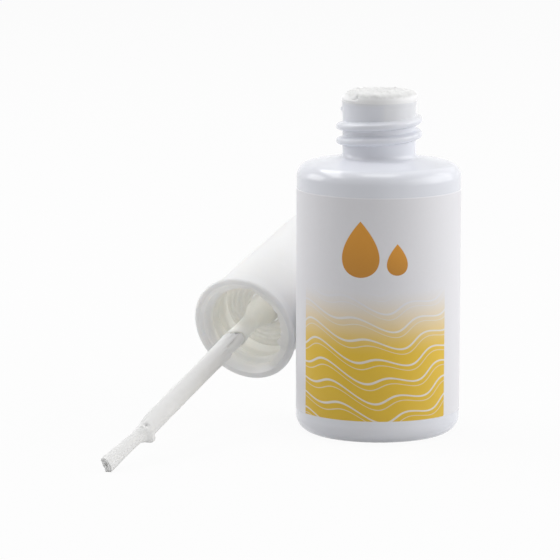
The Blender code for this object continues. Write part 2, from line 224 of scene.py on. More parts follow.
class StageSizes(PropertyGroup):
    """Camera, light and floor"""

    camera: FloatVectorProperty(
        name="Camera", description="Where the camera stands", default=(-0.0167, -0.6748, 0.1357), size=3,
        precision=4, subtype="TRANSLATION", unit="LENGTH",
    )
    pitch: angle("Pitch", "How far the camera looks down", 9.233)
    yaw: angle("Yaw", "How far the camera looks to its right", -0.007)
    roll: angle("Roll", "How far the camera leans", 0.14)
    focal: number("Focal length", "Lens on a 36 mm sensor", 257.14, unit="CAMERA")
    floor: length("Floor", "Radius of the floor", 4000.0)
    floor_colour: colour("Floor colour", "Light that the floor gives back", (0.67, 0.67, 0.67))
    fill: number("Fill", "Even light from all round", 0.22, min=0.0)
    key: number("Key", "Soft box high up, behind on the left", 2.0, unit="POWER")
    top: number("Top", "Soft box overhead", 2.5, unit="POWER")
    right: number("Right", "Each of two soft boxes on the right", 3.6, unit="POWER")
    left: number("Left", "Soft box on the left", 2.7, unit="POWER")
    back: number("Back", "Soft box behind on the right", 1.2, unit="POWER")


def smooth(value, low, high):
    """0 at low and before it, 1 at high and past it, and an even curve between them."""
    part = min(1.0, max(0.0, (value - low) / (high - low)))
    return part * part * (3.0 - 2.0 * part)


def bump(distance, reach):
    """A round bump: 1 at its middle, small past twice its reach."""
    return math.exp(-0.5 * (distance / reach) ** 2)


def turn_between(first, second):
    """The shorter turn between two directions round an axis."""
    return abs((first - second + math.pi) % math.tau - math.pi)


def by_step(table, place):
    """Reads a table of (place, value) rows, with straight lines between them."""
    for (first, low), (last, high) in zip(table, table[1:]):
        if first <= place <= last:
            return low + (high - low) * (place - first) / (last - first)
    return 0.0


def lumps(x, y, z, scale):
    """Smooth noise of about -1 to 1, with features of the given size."""
    return noise.noise(Vector((x, y, z)) / scale)


def circle(turn, radius):
    return radius * math.cos(turn), radius * math.sin(turn)


def round_lumps(turn, reach, along, scale):
    """The same noise round an axis, at a distance from it."""
    return lumps(*circle(turn, reach), along, scale)


def in_mm(turn, radius, height):
    """A point of a turned surface, in mm."""
    return tuple(part / MM for part in (*circle(turn, radius), height))


def marks_rise(marks, turn, radius, place):
    """Rise from marks: direction in degrees, place, reach round and along the axis, and rise, in mm."""
    rise = 0.0
    for degrees, middle, reach_round, reach_along, height in marks:
        aside = turn_between(turn, math.radians(degrees)) * radius
        rise += height * MM * bump(aside, reach_round * MM) * bump(place - middle * MM, reach_along * MM)
    return rise


def arc(centre_r, centre_z, radius, start, end, steps=8):
    """Points of a circular arc in the section plane, angles in degrees from outward."""
    points = []
    for step in range(steps + 1):
        turn = math.radians(start + (end - start) * step / steps)
        points.append((centre_r + radius * math.cos(turn), centre_z + radius * math.sin(turn)))
    return points


def line(first, last, steps):
    """Evenly spaced points from first up to, but without, last."""
    points = []
    for step in range(steps):
        part = step / steps
        points.append((first[0] + (last[0] - first[0]) * part, first[1] + (last[1] - first[1]) * part))
    return points


def section_normals(points, closed):
    """Outward directions of a section whose outer side is drawn downwards."""
    count = len(points)
    normals = []
    for index in range(count):
        before = points[index - 1] if closed or index else points[index]
        after = points[(index + 1) % count] if closed or index < count - 1 else points[index]
        step = Vector((after[0] - before[0], after[1] - before[1])).normalized()
        normals.append((-step.y, step.x))
    return normals


def new_mesh(name, verts, faces):
    mesh = bpy.data.meshes.new(name)
    mesh.from_pydata(verts, [], faces)
    return mesh


def turned_skin(name, points, steps, closed=False, swell=None, swollen=None):
    """A turned mesh. swell(turn, radius, height) moves its points outwards, or only those in swollen."""
    verts = []
    rings = []
    for index, (out, up) in enumerate(section_normals(points, closed)):
        radius, height = points[index]
        if radius < ON_AXIS:
            rings.append([len(verts)] * steps)
            verts.append((0.0, 0.0, height))
            continue
        rings.append(range(len(verts), len(verts) + steps))
        moved = swell and (swollen is None or index in swollen)
        for step in range(steps):
            turn = math.tau * step / steps
            rise = swell(turn, radius, height) if moved else 0.0
            verts.append((*circle(turn, radius + out * rise), height + up * rise))
    pairs = list(zip(rings, rings[1:]))
    if closed:
        pairs.append((rings[-1], rings[0]))
    faces = []
    for upper, lower in pairs:
        for step in range(steps):
            after = (step + 1) % steps
            corners = (upper[step], lower[step], lower[after], upper[after])
            faces.append(tuple(dict.fromkeys(corners)))
    return new_mesh(name, verts, faces)


def add_tube(verts, faces, sections):
    """Adds a tube through closed sections of equal size, one after the other, with both ends capped."""
    size = len(sections[0])
    first = len(verts)
    faces.append(tuple(reversed(range(first, first + size))))
    for section in sections:
        verts += section
    while first + size < len(verts):
        for corner in range(size):
            after = (corner + 1) % size
            faces.append((first + corner, first + after, first + size + after, first + size + corner))
        first += size
    faces.append(tuple(range(first, first + size)))


def thread_rise(thread, run, turn, height):
    """How far a right-hand thread stands out of its wall at a point, fading into it at both ends."""
    first, start, end, tall, width = run
    rise = 0.0
    turned = turn + math.tau * math.ceil((start - turn) / math.tau)
    while turned < end:
        fade = smooth(turned - start, 0.0, thread.run_out) * smooth(end - turned, 0.0, thread.run_out)
        middle = first + thread.pitch * (turned - start) / math.tau
        # A flat crest with round flanks, which is narrower where it fades
        aside = min(1.0, abs(height - middle) / (width * (0.35 + 0.15 * fade)))
        rise = max(rise, tall * fade * (1.0 - aside ** 3.4) ** 1.25)
        turned += math.tau
    return rise


def new_object(name, data):
    made = bpy.data.objects.new(name, data)
    bpy.context.scene.collection.objects.link(made)
    return made


def add_piece(mesh, finish, body, replaced=(), place=None):
    """Keeps each point's own place in mm for the finish, then sets the piece in the frame on its body."""
    own = mesh.attributes.new("own", "FLOAT_VECTOR", "POINT")
    own.data.foreach_set("vector", [part / MM for vert in mesh.vertices for part in vert.co])
    if place:
        mesh.transform(place)
    mesh.shade_smooth()
    mesh.set_sharp_from_angle(angle=SHARP_ANGLE)
    mesh.materials.append(finish.material)
    piece = new_object(mesh.name, mesh)
    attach(piece, body)
    if replaced:
        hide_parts(*replaced)


def tint(base, amount):
    """A slightly darker or lighter copy of a colour."""
    return tuple(min(1.0, part * amount) for part in base)


class Nodes:
    """A node tree, with short ways to add the nodes that the finishes and the stage share."""

    def __init__(self, owner):
        owner.use_nodes = True
        self.tree = owner.node_tree

    def node(self, kind, feeds=None, **settings):
        """Adds a node, feeds its sockets by name or number and returns its outputs."""
        made = self.tree.nodes.new(kind)
        for key, value in settings.items():
            setattr(made, key, value)
        for key, value in (feeds or {}).items():
            self.feed(made.inputs[key], value)
        return made.outputs

    def feed(self, socket, value):
        """Links a socket, or sets a number, vector or colour."""
        if isinstance(value, bpy.types.NodeSocket):
            self.tree.links.new(value, socket)
        elif isinstance(value, (int, float)):
            socket.default_value = value
        else:
            socket.default_value = (*value, 1.0) if len(value) < len(socket.default_value) else value

    def maths(self, operation, *values):
        return self.node("ShaderNodeMath", dict(enumerate(values)), operation=operation)["Value"]

    def product(self, first, *others):
        for other in others:
            first = self.maths("MULTIPLY", first, other)
        return first

    def mix_shaders(self, factor, first, second):
        return self.node("ShaderNodeMixShader", {0: factor, 1: first, 2: second})["Shader"]

    def show(self, seen, lit, weight=1.0):
        """Shows one shader to the camera, reflections and glass, and lights with the other."""
        path = self.node("ShaderNodeLightPath")
        looks = self.maths("MAXIMUM", path["Is Camera Ray"], path["Is Glossy Ray"])
        looks = self.maths("MAXIMUM", looks, path["Is Transmission Ray"])
        return self.mix_shaders(self.product(looks, weight), lit, seen)


class Finish(Nodes):
    """A material, with short ways to add the nodes that the finishes share."""

    def __init__(self, name, roughness, metallic=0.0):
        self.material = bpy.data.materials.new(name)
        super().__init__(self.material)
        self.shader = self.tree.nodes["Principled BSDF"]
        self.set("Roughness", roughness)
        self.set("Metallic", metallic)

    @cached_property
    def own(self):
        """Each point's own place, in mm."""
        return self.node("ShaderNodeAttribute", attribute_name="own")["Vector"]

    def set(self, socket, value):
        self.feed(self.shader.inputs[socket], value)

    def colour(self, value):
        self.set("Base Color", value)

    def surface(self, shader):
        self.feed(self.tree.nodes["Material Output"].inputs["Surface"], shader)

    def parts(self):
        return self.node("ShaderNodeSeparateXYZ", {"Vector": self.own})

    def noise(self, scale, detail=3.0, rough=0.5, stretch=None):
        vector = self.own
        if stretch:
            vector = self.node("ShaderNodeMapping", {"Vector": vector, "Scale": stretch})["Vector"]
        feeds = {"Vector": vector, "Scale": scale, "Detail": detail, "Roughness": rough}
        return self.node("ShaderNodeTexNoise", feeds)["Fac"]

    def cells(self, scale, feature="F1"):
        feeds = {"Vector": self.own, "Scale": scale}
        return self.node("ShaderNodeTexVoronoi", feeds, feature=feature)["Distance"]

    def spread(self, value, low, high, to_low=0.0, to_high=1.0, curve="LINEAR"):
        feeds = dict(enumerate((value, low, high, to_low, to_high)))
        return self.node("ShaderNodeMapRange", feeds, interpolation_type=curve)["Result"]

    def blend(self, factor, first, second):
        return self.node("ShaderNodeMix", {0: factor, 6: first, 7: second}, data_type="RGBA")[2]

    def mottle(self, factor, base, dark, light):
        """A colour that wanders between a darker and a lighter tint."""
        return self.blend(factor, tint(base, dark), tint(base, light))

    def uneven_gloss(self, factor, low, high):
        self.set("Roughness", self.spread(factor, NOISE_LOW, NOISE_HIGH, low, high))

    def relief(self, height, strength, distance):
        """Fine surface relief, distance in mm."""
        feeds = {"Strength": strength, "Distance": distance * MM, "Height": height}
        self.set("Normal", self.node("ShaderNodeBump", feeds)["Normal"])

    def glow_through(self, reach):
        """Light that passes a little way into pale plastic, reach in mm."""
        self.set("Subsurface Weight", 1.0)
        self.set("Subsurface Radius", (1.0, 0.95, 0.9))
        self.set("Subsurface Scale", reach * MM)

    def let_light_in(self, part):
        """Lets a part of the lamps' light pass each face, as a thin milky wall does."""
        shadow = self.node("ShaderNodeLightPath")["Is Shadow Ray"]
        clear = self.node("ShaderNodeBsdfTransparent")["BSDF"]
        self.surface(self.mix_shaders(self.product(shadow, part), self.shader.outputs["BSDF"], clear))


def moulded_finish(name, base, roughness, dark=0.975):
    """Moulded plastic with uneven gloss and the waviness of its mould, and its cloudy colour to build on."""
    finish = Finish(name, roughness)
    finish.uneven_gloss(finish.noise(0.5, 3.0, 0.55), roughness - 0.04, roughness + 0.04)
    finish.relief(finish.noise(0.7, 2.0), 0.12, 0.03)
    return finish, finish.mottle(finish.noise(0.18, 2.0), base, dark, 1.02)


def dried_finish(name, base):
    """Dried fluid: chalky white with soft lumps, and hairline cracks in some patches."""
    finish = Finish(name, 0.72)
    soft = finish.noise(0.8, 4.0, 0.55)
    crack = finish.spread(finish.cells(1.3, "DISTANCE_TO_EDGE"), 0.0, 0.035)
    whole = finish.maths("MAXIMUM", crack, finish.spread(finish.noise(0.35, 2.0), 0.36, 0.5))
    finish.colour(finish.blend(whole, tint(base, 0.93), finish.mottle(soft, base, 0.95, 1.03)))
    finish.uneven_gloss(soft, 0.58, 0.82)
    finish.relief(finish.maths("MULTIPLY_ADD", whole, 0.35, finish.noise(2.2, 2.0)), 0.25, 0.04)
    return finish


def bottle_section(sizes):
    """The bottle's whole section: up its inside from the floor, then down its outside."""
    radius, neck, wall = sizes.diameter / 2, sizes.neck / 2, sizes.wall
    corner, edge, fillet = sizes.base_corner, sizes.shoulder_edge, sizes.neck_fillet
    bore = neck - sizes.neck_wall
    straight, top = sizes.straight_top, sizes.neck_top
    slope = math.degrees(sizes.shoulder_slope)
    rise, lean = math.tan(sizes.shoulder_slope), math.cos(sizes.shoulder_slope)
    edge_r = radius - edge + edge * math.sin(sizes.shoulder_slope)
    neck_base = straight + edge * lean + (edge_r - neck) * rise
    inner_neck = neck_base + (neck - bore) * rise - wall / lean
    fillet_z = neck_base + fillet / lean - fillet * rise
    lip = 0.05 * MM
    points = [(0.0, wall)]
    points += arc(radius - corner, corner, corner - wall, -90, 0)
    points += arc(radius - edge, straight, edge - wall, 0, 90 - slope)
    points += [(bore, inner_neck), (bore, top)]
    points += arc(neck - lip, top - lip, lip, 90, 0, 4)
    points += line((neck, top - 2 * lip), (neck, fillet_z + lip), 130)
    points += arc(neck + fillet, fillet_z, fillet, 180, 270 - slope, 10)
    points += arc(radius - edge, straight, edge, 90 - slope, 0, 14)
    points += line((radius, straight - 0.6 * MM), (radius, corner + 0.4 * MM), 12)
    points += arc(radius - corner, corner, corner, 0, -90, 14)
    return points + [(0.6 * radius, 0.0), (0.0, 0.0)]


def bottle_finish(sizes):
    """Glossy moulded plastic, with a thin grey film of fluid on the right of the neck's end."""
    finish, plain = moulded_finish("bottle_plastic", sizes.plastic, 0.13)
    place = finish.parts()
    top = sizes.neck_top / MM
    foot = top - sizes.film_depth / MM
    streak = finish.noise(1.0, stretch=(1.4, 1.4, 0.25))
    edge = finish.maths("MULTIPLY_ADD", streak, 2.4, place["X"])
    aside = finish.spread(edge, 1.0, 2.6, 0.0, 0.75, "SMOOTHSTEP")
    above = finish.spread(place["Z"], foot, foot + 0.8)
    under_rim = finish.spread(place["Z"], top - 0.8, top, 0.0, 0.8, "SMOOTHSTEP")
    film = finish.maths("MAXIMUM", finish.product(aside, above), under_rim)
    finish.colour(finish.blend(film, plain, sizes.film_colour))
    return finish


class BOTTLE_OT_body(Operator):
    """Makes the bottle's skin and the thread on its neck"""

    bl_idname = "bottle.body"
    bl_label = "Bottle"

    # A fleck of dried fluid on the left, below the neck's end
    fleck = ((180.0, 1.5, 0.22, 0.22, 0.28),)

    def execute(self, context):
        sizes = context.scene.bottle_sizes
        thread = context.scene.thread_sizes
        overhang = context.scene.wiper_sizes.overhang
        neck, top = sizes.neck / 2, sizes.neck_top
        neck_foot = sizes.straight_top + 2.5 * MM
        film_foot = top - sizes.film_depth
        first = thread.left_crest + thread.pitch * (thread.start - math.pi) / math.tau
        run = (first, thread.start, thread.end, thread.height, thread.width)

        def neck_form(turn, radius, height):
            if abs(radius - neck) > 0.1 * MM or height < neck_foot:
                return 0.0
            # A streaky film above the thread, as wide as the flange at the neck's end
            streak = 0.7 + 0.5 * round_lumps(turn, 2.0, 120 * height, 0.6)
            film = sizes.film * streak * smooth(height, film_foot, film_foot + 2 * MM)
            film += (overhang - film) * smooth(height, top - 0.9 * MM, top - 0.15 * MM)
            ridge = thread_rise(thread, run, turn, height)
            return max(ridge, film) + marks_rise(self.fleck, turn, neck, top - height)

        skin = turned_skin("bottle_skin", bottle_section(sizes), steps=280, swell=neck_form)
        add_piece(skin, bottle_finish(sizes), "bottle", ["bottle_body"])
        return {"FINISHED"}


def label_finish(sizes):
    """Satin paper with a gold panel that fades upwards, white waves in it and two amber drops above."""
    finish = Finish("label_paper", 0.48)
    place = finish.parts()
    height = place["Z"]
    turn = finish.maths("ARCTAN2", place["X"], finish.product(place["Y"], -1.0))
    # Places across the label are in mm round the bottle from its front
    across = finish.product(turn, sizes.radius / MM)
    panel = finish.product(
        finish.spread(across, -15.25, -15.15),
        finish.spread(across, 12.75, 12.65),
        finish.spread(height, 27.0, 15.0, curve="SMOOTHSTEP"),
    )

    swing = finish.maths("SINE", finish.maths("MULTIPLY_ADD", across, 0.62, finish.product(height, 0.32)))
    slow = finish.maths("SINE", finish.maths("MULTIPLY_ADD", across, 0.21, 1.3))
    level = finish.maths("MULTIPLY_ADD", swing, 0.75, finish.maths("MULTIPLY_ADD", slow, 1.6, height))
    # A broad and a thin line in each wave: shift, distances where it fades, and strength
    lines = []
    for shift, near, far, strength in ((0.0, 0.12, 0.20, 1.0), (0.95, 0.04, 0.10, 0.7)):
        off_line = finish.maths("PINGPONG", finish.maths("ADD", level, shift), 1.55)
        lines.append(finish.spread(off_line, near, far, strength, 0.0))
    waves = finish.product(finish.maths("MAXIMUM", *lines), 0.82)

    gold = finish.mottle(finish.spread(height, 4.0, 22.0), sizes.gold, 1.0, 1.12)
    fibre = finish.noise(1.6, 5.0, 0.6)
    paper = finish.mottle(fibre, sizes.paper, 0.98, 1.02)
    printed = finish.blend(panel, paper, finish.blend(waves, gold, sizes.paper))
    # Each drop's place across the label, foot, height and half width, in mm
    for middle, foot, tall, wide in ((-3.4, 28.6, 9.6, 3.3), (2.9, 29.0, 5.4, 1.85)):
        up = finish.spread(height, foot, foot + tall)
        left_above = finish.maths("SUBTRACT", 1.0, up)
        half = finish.product(finish.maths("SQRT", up), left_above, wide / DROP_PEAK)
        aside = finish.maths("ABSOLUTE", finish.maths("SUBTRACT", across, middle))
        drop = finish.spread(finish.maths("SUBTRACT", half, aside), 0.0, 0.08)
        printed = finish.blend(drop, printed, finish.mottle(up, sizes.amber, 0.9, 1.25))

    edge = finish.spread(height, sizes.top / MM - 0.22, sizes.top / MM - 0.14)
    finish.colour(finish.blend(edge, printed, tint(sizes.paper, 1.1)))
    finish.uneven_gloss(fibre, 0.42, 0.54)
    finish.relief(finish.noise(4.0, 4.0, 0.6), 0.3, 0.01)
    return finish


class BOTTLE_OT_label(Operator):
    """Makes the wrap label with its print"""

    bl_idname = "bottle.label"
    bl_label = "Label"

    def execute(self, context):
        sizes = context.scene.label_print
        low, high, outer = sizes.bottom, sizes.top, sizes.radius
        inner = outer - sizes.thickness
        soft = 0.04 * MM
        section = [(inner, high), (outer - soft, high), (outer, high - soft)]
        section += [(outer, low + soft), (outer - soft, low), (inner, low)]
        half_gap = sizes.seam / outer / 2
        sweep = math.tau - 2 * half_gap
        steps = 200
        sections = []
        for step in range(steps + 1):
            turn = math.pi / 2 + half_gap + sweep * step / steps
            sections.append([(*circle(turn, radius), height) for radius, height in section])
        verts, faces = [], []
        add_tube(verts, faces, sections)
        sheet = new_mesh("label_sheet", verts, faces)
        add_piece(sheet, label_finish(sizes), "bottle", ["wrap_label"])
        return {"FINISHED"}


def wiper_section(sizes, bottle):
    """The insert's closed section, from the top of its flange down its outside."""
    flange = bottle.neck / 2 + sizes.overhang
    foot = bottle.neck_top
    # The flange's lower edge covers the neck's end
    hem = foot - 0.2 * MM
    sleeve = bottle.neck / 2 - bottle.neck_wall - sizes.fit
    inside = sleeve - sizes.sleeve_wall
    bottom = RIM_TOP - sizes.flange - sizes.sleeve
    lip_top = bottom + sizes.lip
    cone_top = lip_top + sizes.cone
    orifice = sizes.orifice / 2
    edge = sizes.flange_round
    soft = 0.5 * MM
    points = line((inside + soft, RIM_TOP), (flange - edge, RIM_TOP), 8)
    points += arc(flange - edge, RIM_TOP - edge, edge, 90, 0, 16)
    points += line((flange, RIM_TOP - edge - 0.08 * MM), (flange, foot + 0.1 * MM), 3)
    points += [(flange - 0.01 * MM, foot - 0.12 * MM), (flange - 0.08 * MM, hem), (sleeve, hem)]
    points += [(sleeve, bottom + soft), (sleeve - soft, bottom), (orifice, bottom), (orifice, lip_top)]
    points += [(inside, cone_top)]
    points += line((inside, cone_top + 0.2 * MM), (inside, RIM_TOP - soft), 10)
    return points + arc(inside + soft, RIM_TOP - soft, soft, 180, 96, 5)


def rim_finish(sizes, fluid):
    """White plastic under chalky crust, which gathers along the top of the rim."""
    finish = Finish("wiper_rim", 0.5)
    ragged = finish.maths("MULTIPLY_ADD", finish.noise(1.1, 4.0, 0.6), 1.1, finish.parts()["Z"])
    crust = finish.spread(ragged, RIM_TOP / MM - 0.1, RIM_TOP / MM + 0.25)
    soft = finish.noise(1.8, 5.0, 0.6)
    plain = finish.mottle(soft, sizes.plastic, 0.97, 1.02)
    finish.colour(finish.blend(crust, plain, finish.mottle(soft, fluid, 0.94, 1.0)))
    finish.set("Roughness", finish.spread(crust, 0.0, 1.0, 0.42, 0.75))
    finish.relief(finish.product(finish.noise(4.0, 5.0, 0.65), crust), 0.4, 0.05)
    finish.let_light_in(0.6)
    return finish


class BOTTLE_OT_wiper(Operator):
    """Makes the insert in the neck with the crust on its rim"""

    bl_idname = "bottle.wiper"
    bl_label = "Wiper and rim crust"

    # Dents and lumps on the flange, with places measured down from the rim
    marks = (
        (1.0, 0.70, 0.55, 0.34, 0.20),
        (2.0, 1.30, 0.60, 0.14, -0.20),
        (180.0, 0.35, 2.20, 0.50, -0.40),
        (188.0, 1.05, 1.10, 0.16, 0.12),
        (231.0, 0.62, 0.15, 0.22, -0.55),
        (212.0, 1.25, 1.40, 0.12, 0.16),
        (226.0, 1.02, 0.50, 0.07, -0.12),
        (262.0, 0.15, 0.60, 0.22, 0.12),
        (300.0, 0.10, 0.80, 0.20, 0.14),
        (330.0, 0.20, 0.50, 0.25, 0.16),
    )
    # Crumbs on the skin over the mouth: places across and back, in mm
    crumbs = ((0.0, 3.4), (2.8, 3.8), (3.9, 3.4), (-3.6, 3.2), (-2.5, 3.9), (-4.0, -1.2), (1.6, -4.3))

    def execute(self, context):
        sizes = context.scene.wiper_sizes
        bottle = context.scene.bottle_sizes
        flange = bottle.neck / 2 + sizes.overhang

        def crust(turn, radius, height):
            below = RIM_TOP - height
            if below > sizes.flange - 0.02 * MM:
                return 0.0
            x, y, z = in_mm(turn, radius, height)
            rough = 0.3 + 0.75 * lumps(x, y, z, 0.9) + 0.35 * lumps(x, y, z, 0.38)
            rise = sizes.crust * max(0.0, rough) * (1.0 - smooth(below, 0.2 * MM, 0.75 * MM))
            if radius > flange - sizes.flange_round - 0.4 * MM:
                rise += marks_rise(self.marks, turn, flange, below)
            return rise

        finish = rim_finish(sizes, context.scene.brush_sizes.fluid)
        section = wiper_section(sizes, bottle)
        insert = turned_skin("wiper_insert", section, steps=220, closed=True, swell=crust)
        add_piece(insert, finish, "bottle", ["neck_wiper"])
        add_piece(self.skin(sizes, flange), finish, "bottle")
        return {"FINISHED"}

    def skin(self, sizes, flange):
        """A skin of dried fluid that has grown in from the rim to a ragged hole."""
        hole = sizes.skin_hole / 2
        edge = flange - sizes.flange_round - 0.05 * MM
        points = line((hole, RIM_TOP), (edge, RIM_TOP), 30)
        points += [(edge, RIM_TOP - 0.3 * MM), (hole + 1.9 * MM, RIM_TOP - 0.55 * MM)]
        points += [(hole + 0.3 * MM, RIM_TOP - 0.45 * MM), (hole + 0.05 * MM, RIM_TOP - 0.22 * MM)]

        def crust(turn, radius, height):
            x, y, z = in_mm(turn, radius, height)
            ragged = 0.6 * lumps(x, y, 4.0, 0.9) + 0.5 * lumps(x, y, 7.0, 0.35)
            ragged *= bump(radius - hole, 0.3 * MM)
            if height < RIM_TOP - 0.01 * MM:
                return 0.35 * MM * ragged
            rise = 0.10 + 0.16 * lumps(x, y, 1.0, 1.1) + 0.10 * lumps(x, y, 5.0, 0.45)
            # Higher at the front of the hole than behind it
            rise -= 0.32 * math.sin(turn) * bump(radius - hole - 0.35 * MM, 0.8 * MM)
            for crumb_x, crumb_y in self.crumbs:
                rise += 0.2 * bump(math.hypot(x - crumb_x, y - crumb_y), 0.17)
            return rise * smooth(edge - radius, 0.0, 0.5 * MM) * MM + 0.2 * MM * ragged

        return turned_skin("rim_skin", points, steps=180, closed=True, swell=crust)


def cap_radius(sizes, depth):
    """Outer radius of the cap's drafted wall, at a depth from the mouth."""
    return sizes.wall_diameter / 2 - sizes.draft * depth


def cap_bore(sizes):
    return cap_radius(sizes, sizes.flare) - sizes.skirt_wall


def mouth_radius(sizes, depth):
    """Inner radius of the mouth, which curves in from the lip to the bore."""
    lip = sizes.mouth / 2 - sizes.bead
    return lip + (cap_bore(sizes) - lip) * smooth(depth, -0.8 * sizes.lead_in, sizes.lead_in)


def cap_section(sizes):
    """The cap's section: down its outside from the roof, then up its inside to the stem's socket."""
    end, round_edge, bead, lead = sizes.length, sizes.top_edge, sizes.bead, sizes.lead_in
    top = cap_radius(sizes, end)
    bore = cap_bore(sizes)
    seat = sizes.liner_depth + sizes.liner + sizes.liner_gap
    ceiling = end - sizes.roof
    wall_top = end - 2.0 * MM
    flare_end = cap_radius(sizes, sizes.flare)
    flare = sizes.mouth / 2 - flare_end
    socket, hole = sizes.socket / 2, sizes.socket_bore / 2
    soft = 0.2 * MM
    points = [(0.0, end)]
    points += line((0.5 * top, end), (top - round_edge, end), 4)
    points += arc(top - round_edge, end - round_edge, round_edge, 90, 0, 10)
    points += line((cap_radius(sizes, wall_top), wall_top), (flare_end, sizes.flare), 16)
    for step in range(12):
        part = step / 12
        depth = sizes.flare - (sizes.flare - bead) * part
        points.append((flare_end + flare * smooth(part, 0.0, 1.15), depth))
    points += arc(sizes.mouth / 2 - bead, bead, bead, 0, -90, 10)
    for step in range(1, 23):
        depth = lead * step / 22
        points.append((mouth_radius(sizes, depth), 0.02 * MM + depth))
    points += line((bore, lead + 0.1 * MM), (bore, seat), 74)
    points += [(bore, seat), (cap_radius(sizes, seat) - sizes.upper_wall, seat)]
    points += [(cap_radius(sizes, ceiling) - sizes.upper_wall, ceiling), (socket, ceiling)]
    points += [(socket, sizes.liner_depth), (hole + 1.2 * soft, sizes.socket_end + soft)]
    points += arc(hole + soft, sizes.socket_end + soft, soft, 290, 180, 4)
    return points + [(hole, sizes.socket_floor), (0.0, sizes.socket_floor)]


def cap_finish(sizes):
    """Satin moulded plastic with painted glow inside: paler inside the mouth, and a cream tint, partly a
    stain, that deepens in the bore.
    """
    finish, wall = moulded_finish("cap_plastic", sizes.plastic, 0.42, dark=0.98)
    finish.glow_through(2.4)
    place = finish.parts()
    across = finish.product(place["Y"], place["Y"])
    radius = finish.maths("SQRT", finish.maths("MULTIPLY_ADD", place["X"], place["X"], across))
    bore = cap_bore(sizes) / MM
    # The inner side of the skirt, up to the liner's seat, in mm
    below_seat = finish.spread(place["Z"], 11.0, 9.0)
    inside = finish.product(finish.spread(radius, bore + 0.95, bore + 0.75), below_seat)
    # Painted glow: the inner side of the skirt is paler than the outside, standing in for light that passes
    # through the thin wall
    glow_lining = finish.blend(inside, wall, tint(sizes.plastic, 1.12))
    # Painted glow, partly a stain: a pale cream tint that deepens into the bore
    deep = finish.spread(finish.maths("MULTIPLY_ADD", finish.noise(0.5), 2.0, place["Z"]), 1.2, 5.0)
    finish.colour(finish.blend(finish.product(inside, deep), glow_lining, sizes.stain_and_glow))
    finish.let_light_in(0.9)
    return finish


class BOTTLE_OT_cap(Operator):
    """Makes the cap shell with its inner thread, and the dried fluid inside its mouth"""

    bl_idname = "bottle.cap"
    bl_label = "Cap shell"

    # Fluid caked inside the mouth: direction round the cap in degrees, thickness in mm
    heaps = (
        (95, 0.0), (120, 0.75), (150, 0.95), (180, 1.25), (203, 1.55), (209, 0.85), (232, 0.5), (246, 0.0),
    )

    def execute(self, context):
        sizes = context.scene.cap_sizes
        thread = context.scene.thread_sizes
        bore = cap_bore(sizes)
        end = thread.cap_start + math.tau * thread.cap_turns
        run = (thread.cap_depth, thread.cap_start, end, thread.cap_height, thread.cap_width)

        def inner_thread(turn, radius, depth):
            if not bore - 0.1 * MM < radius < bore + 0.8 * MM or depth > sizes.liner_depth + sizes.liner:
                return 0.0
            return thread_rise(thread, run, turn, depth)

        shell = turned_skin("cap_skin", cap_section(sizes), steps=180, swell=inner_thread)
        add_piece(shell, cap_finish(sizes), "cap", ["cap_shell"], WAND)
        crust = dried_finish("lip_fluid", sizes.crust)
        add_piece(self.crust(sizes), crust, "cap", place=WAND)
        return {"FINISHED"}

    def crust(self, sizes):
        """Dried fluid caked inside the mouth, thickest on the side towards the bottle."""
        first, last = 0.25 * MM, 3.6 * MM
        steps = 22
        inner = []
        for step in range(steps + 1):
            depth = first + (last - first) * step / steps
            inner.append((mouth_radius(sizes, min(depth, sizes.lead_in)) + 0.06 * MM, depth))
        outer = [(radius + 0.2 * MM, depth) for radius, depth in reversed(inner)]

        def caked(turn, radius, depth):
            x, y, z = in_mm(turn, radius, depth)
            rough = 1.0 + 0.28 * lumps(x, y, z, 1.1) + 0.16 * lumps(x, y, z, 0.5)
            shape = smooth(depth, first, first + 1.1 * MM) * (1.0 - smooth(depth, 2.1 * MM, last))
            return by_step(self.heaps, math.degrees(turn)) * rough * shape * MM

        points = outer + inner
        face = range(len(outer) + 1, len(points) - 1)
        return turned_skin("lip_crust", points, steps=200, closed=True, swell=caked, swollen=face)


class BOTTLE_OT_liner(Operator):
    """Makes the foam ring that seals the rim"""

    bl_idname = "bottle.liner"
    bl_label = "Seal liner"

    def execute(self, context):
        sizes = context.scene.cap_sizes
        inside = sizes.socket / 2 + sizes.liner_gap
        outside = cap_bore(sizes) - sizes.liner_gap
        top = sizes.liner_depth + sizes.liner
        low = sizes.liner_depth
        soft = 0.2 * MM
        points = arc(outside - soft, top - soft, soft, 90, 0, 4)
        points += arc(outside - soft, low + soft, soft, 0, -90, 4)
        # Pressed ribs round the sealing face
        ribs, rib_steps = 4, 8
        pitch = (outside - inside - 4 * soft) / ribs
        for step in range(rib_steps * ribs + 1):
            part = step / rib_steps
            radius = outside - 2 * soft - pitch * part
            points.append((radius, low + 0.22 * MM * (0.5 - 0.5 * math.cos(math.tau * part))))
        points += arc(inside + soft, low + soft, soft, 270, 180, 4)
        points += arc(inside + soft, top - soft, soft, 180, 90, 4)
        finish = Finish("liner_foam", 0.8)
        finish.colour(finish.mottle(finish.noise(1.0), sizes.foam, 0.94, 1.04))
        pores = finish.cells(4.5)
        finish.set("Roughness", finish.spread(pores, 0.0, 0.6, 0.9, 0.7))
        finish.relief(pores, 0.6, 0.05)
        finish.glow_through(2.5)
        finish.let_light_in(0.9)
        ring = turned_skin("liner_ring", points, steps=120, closed=True)
        add_piece(ring, finish, "liner", ["seal_liner"], WAND)
        return {"FINISHED"}


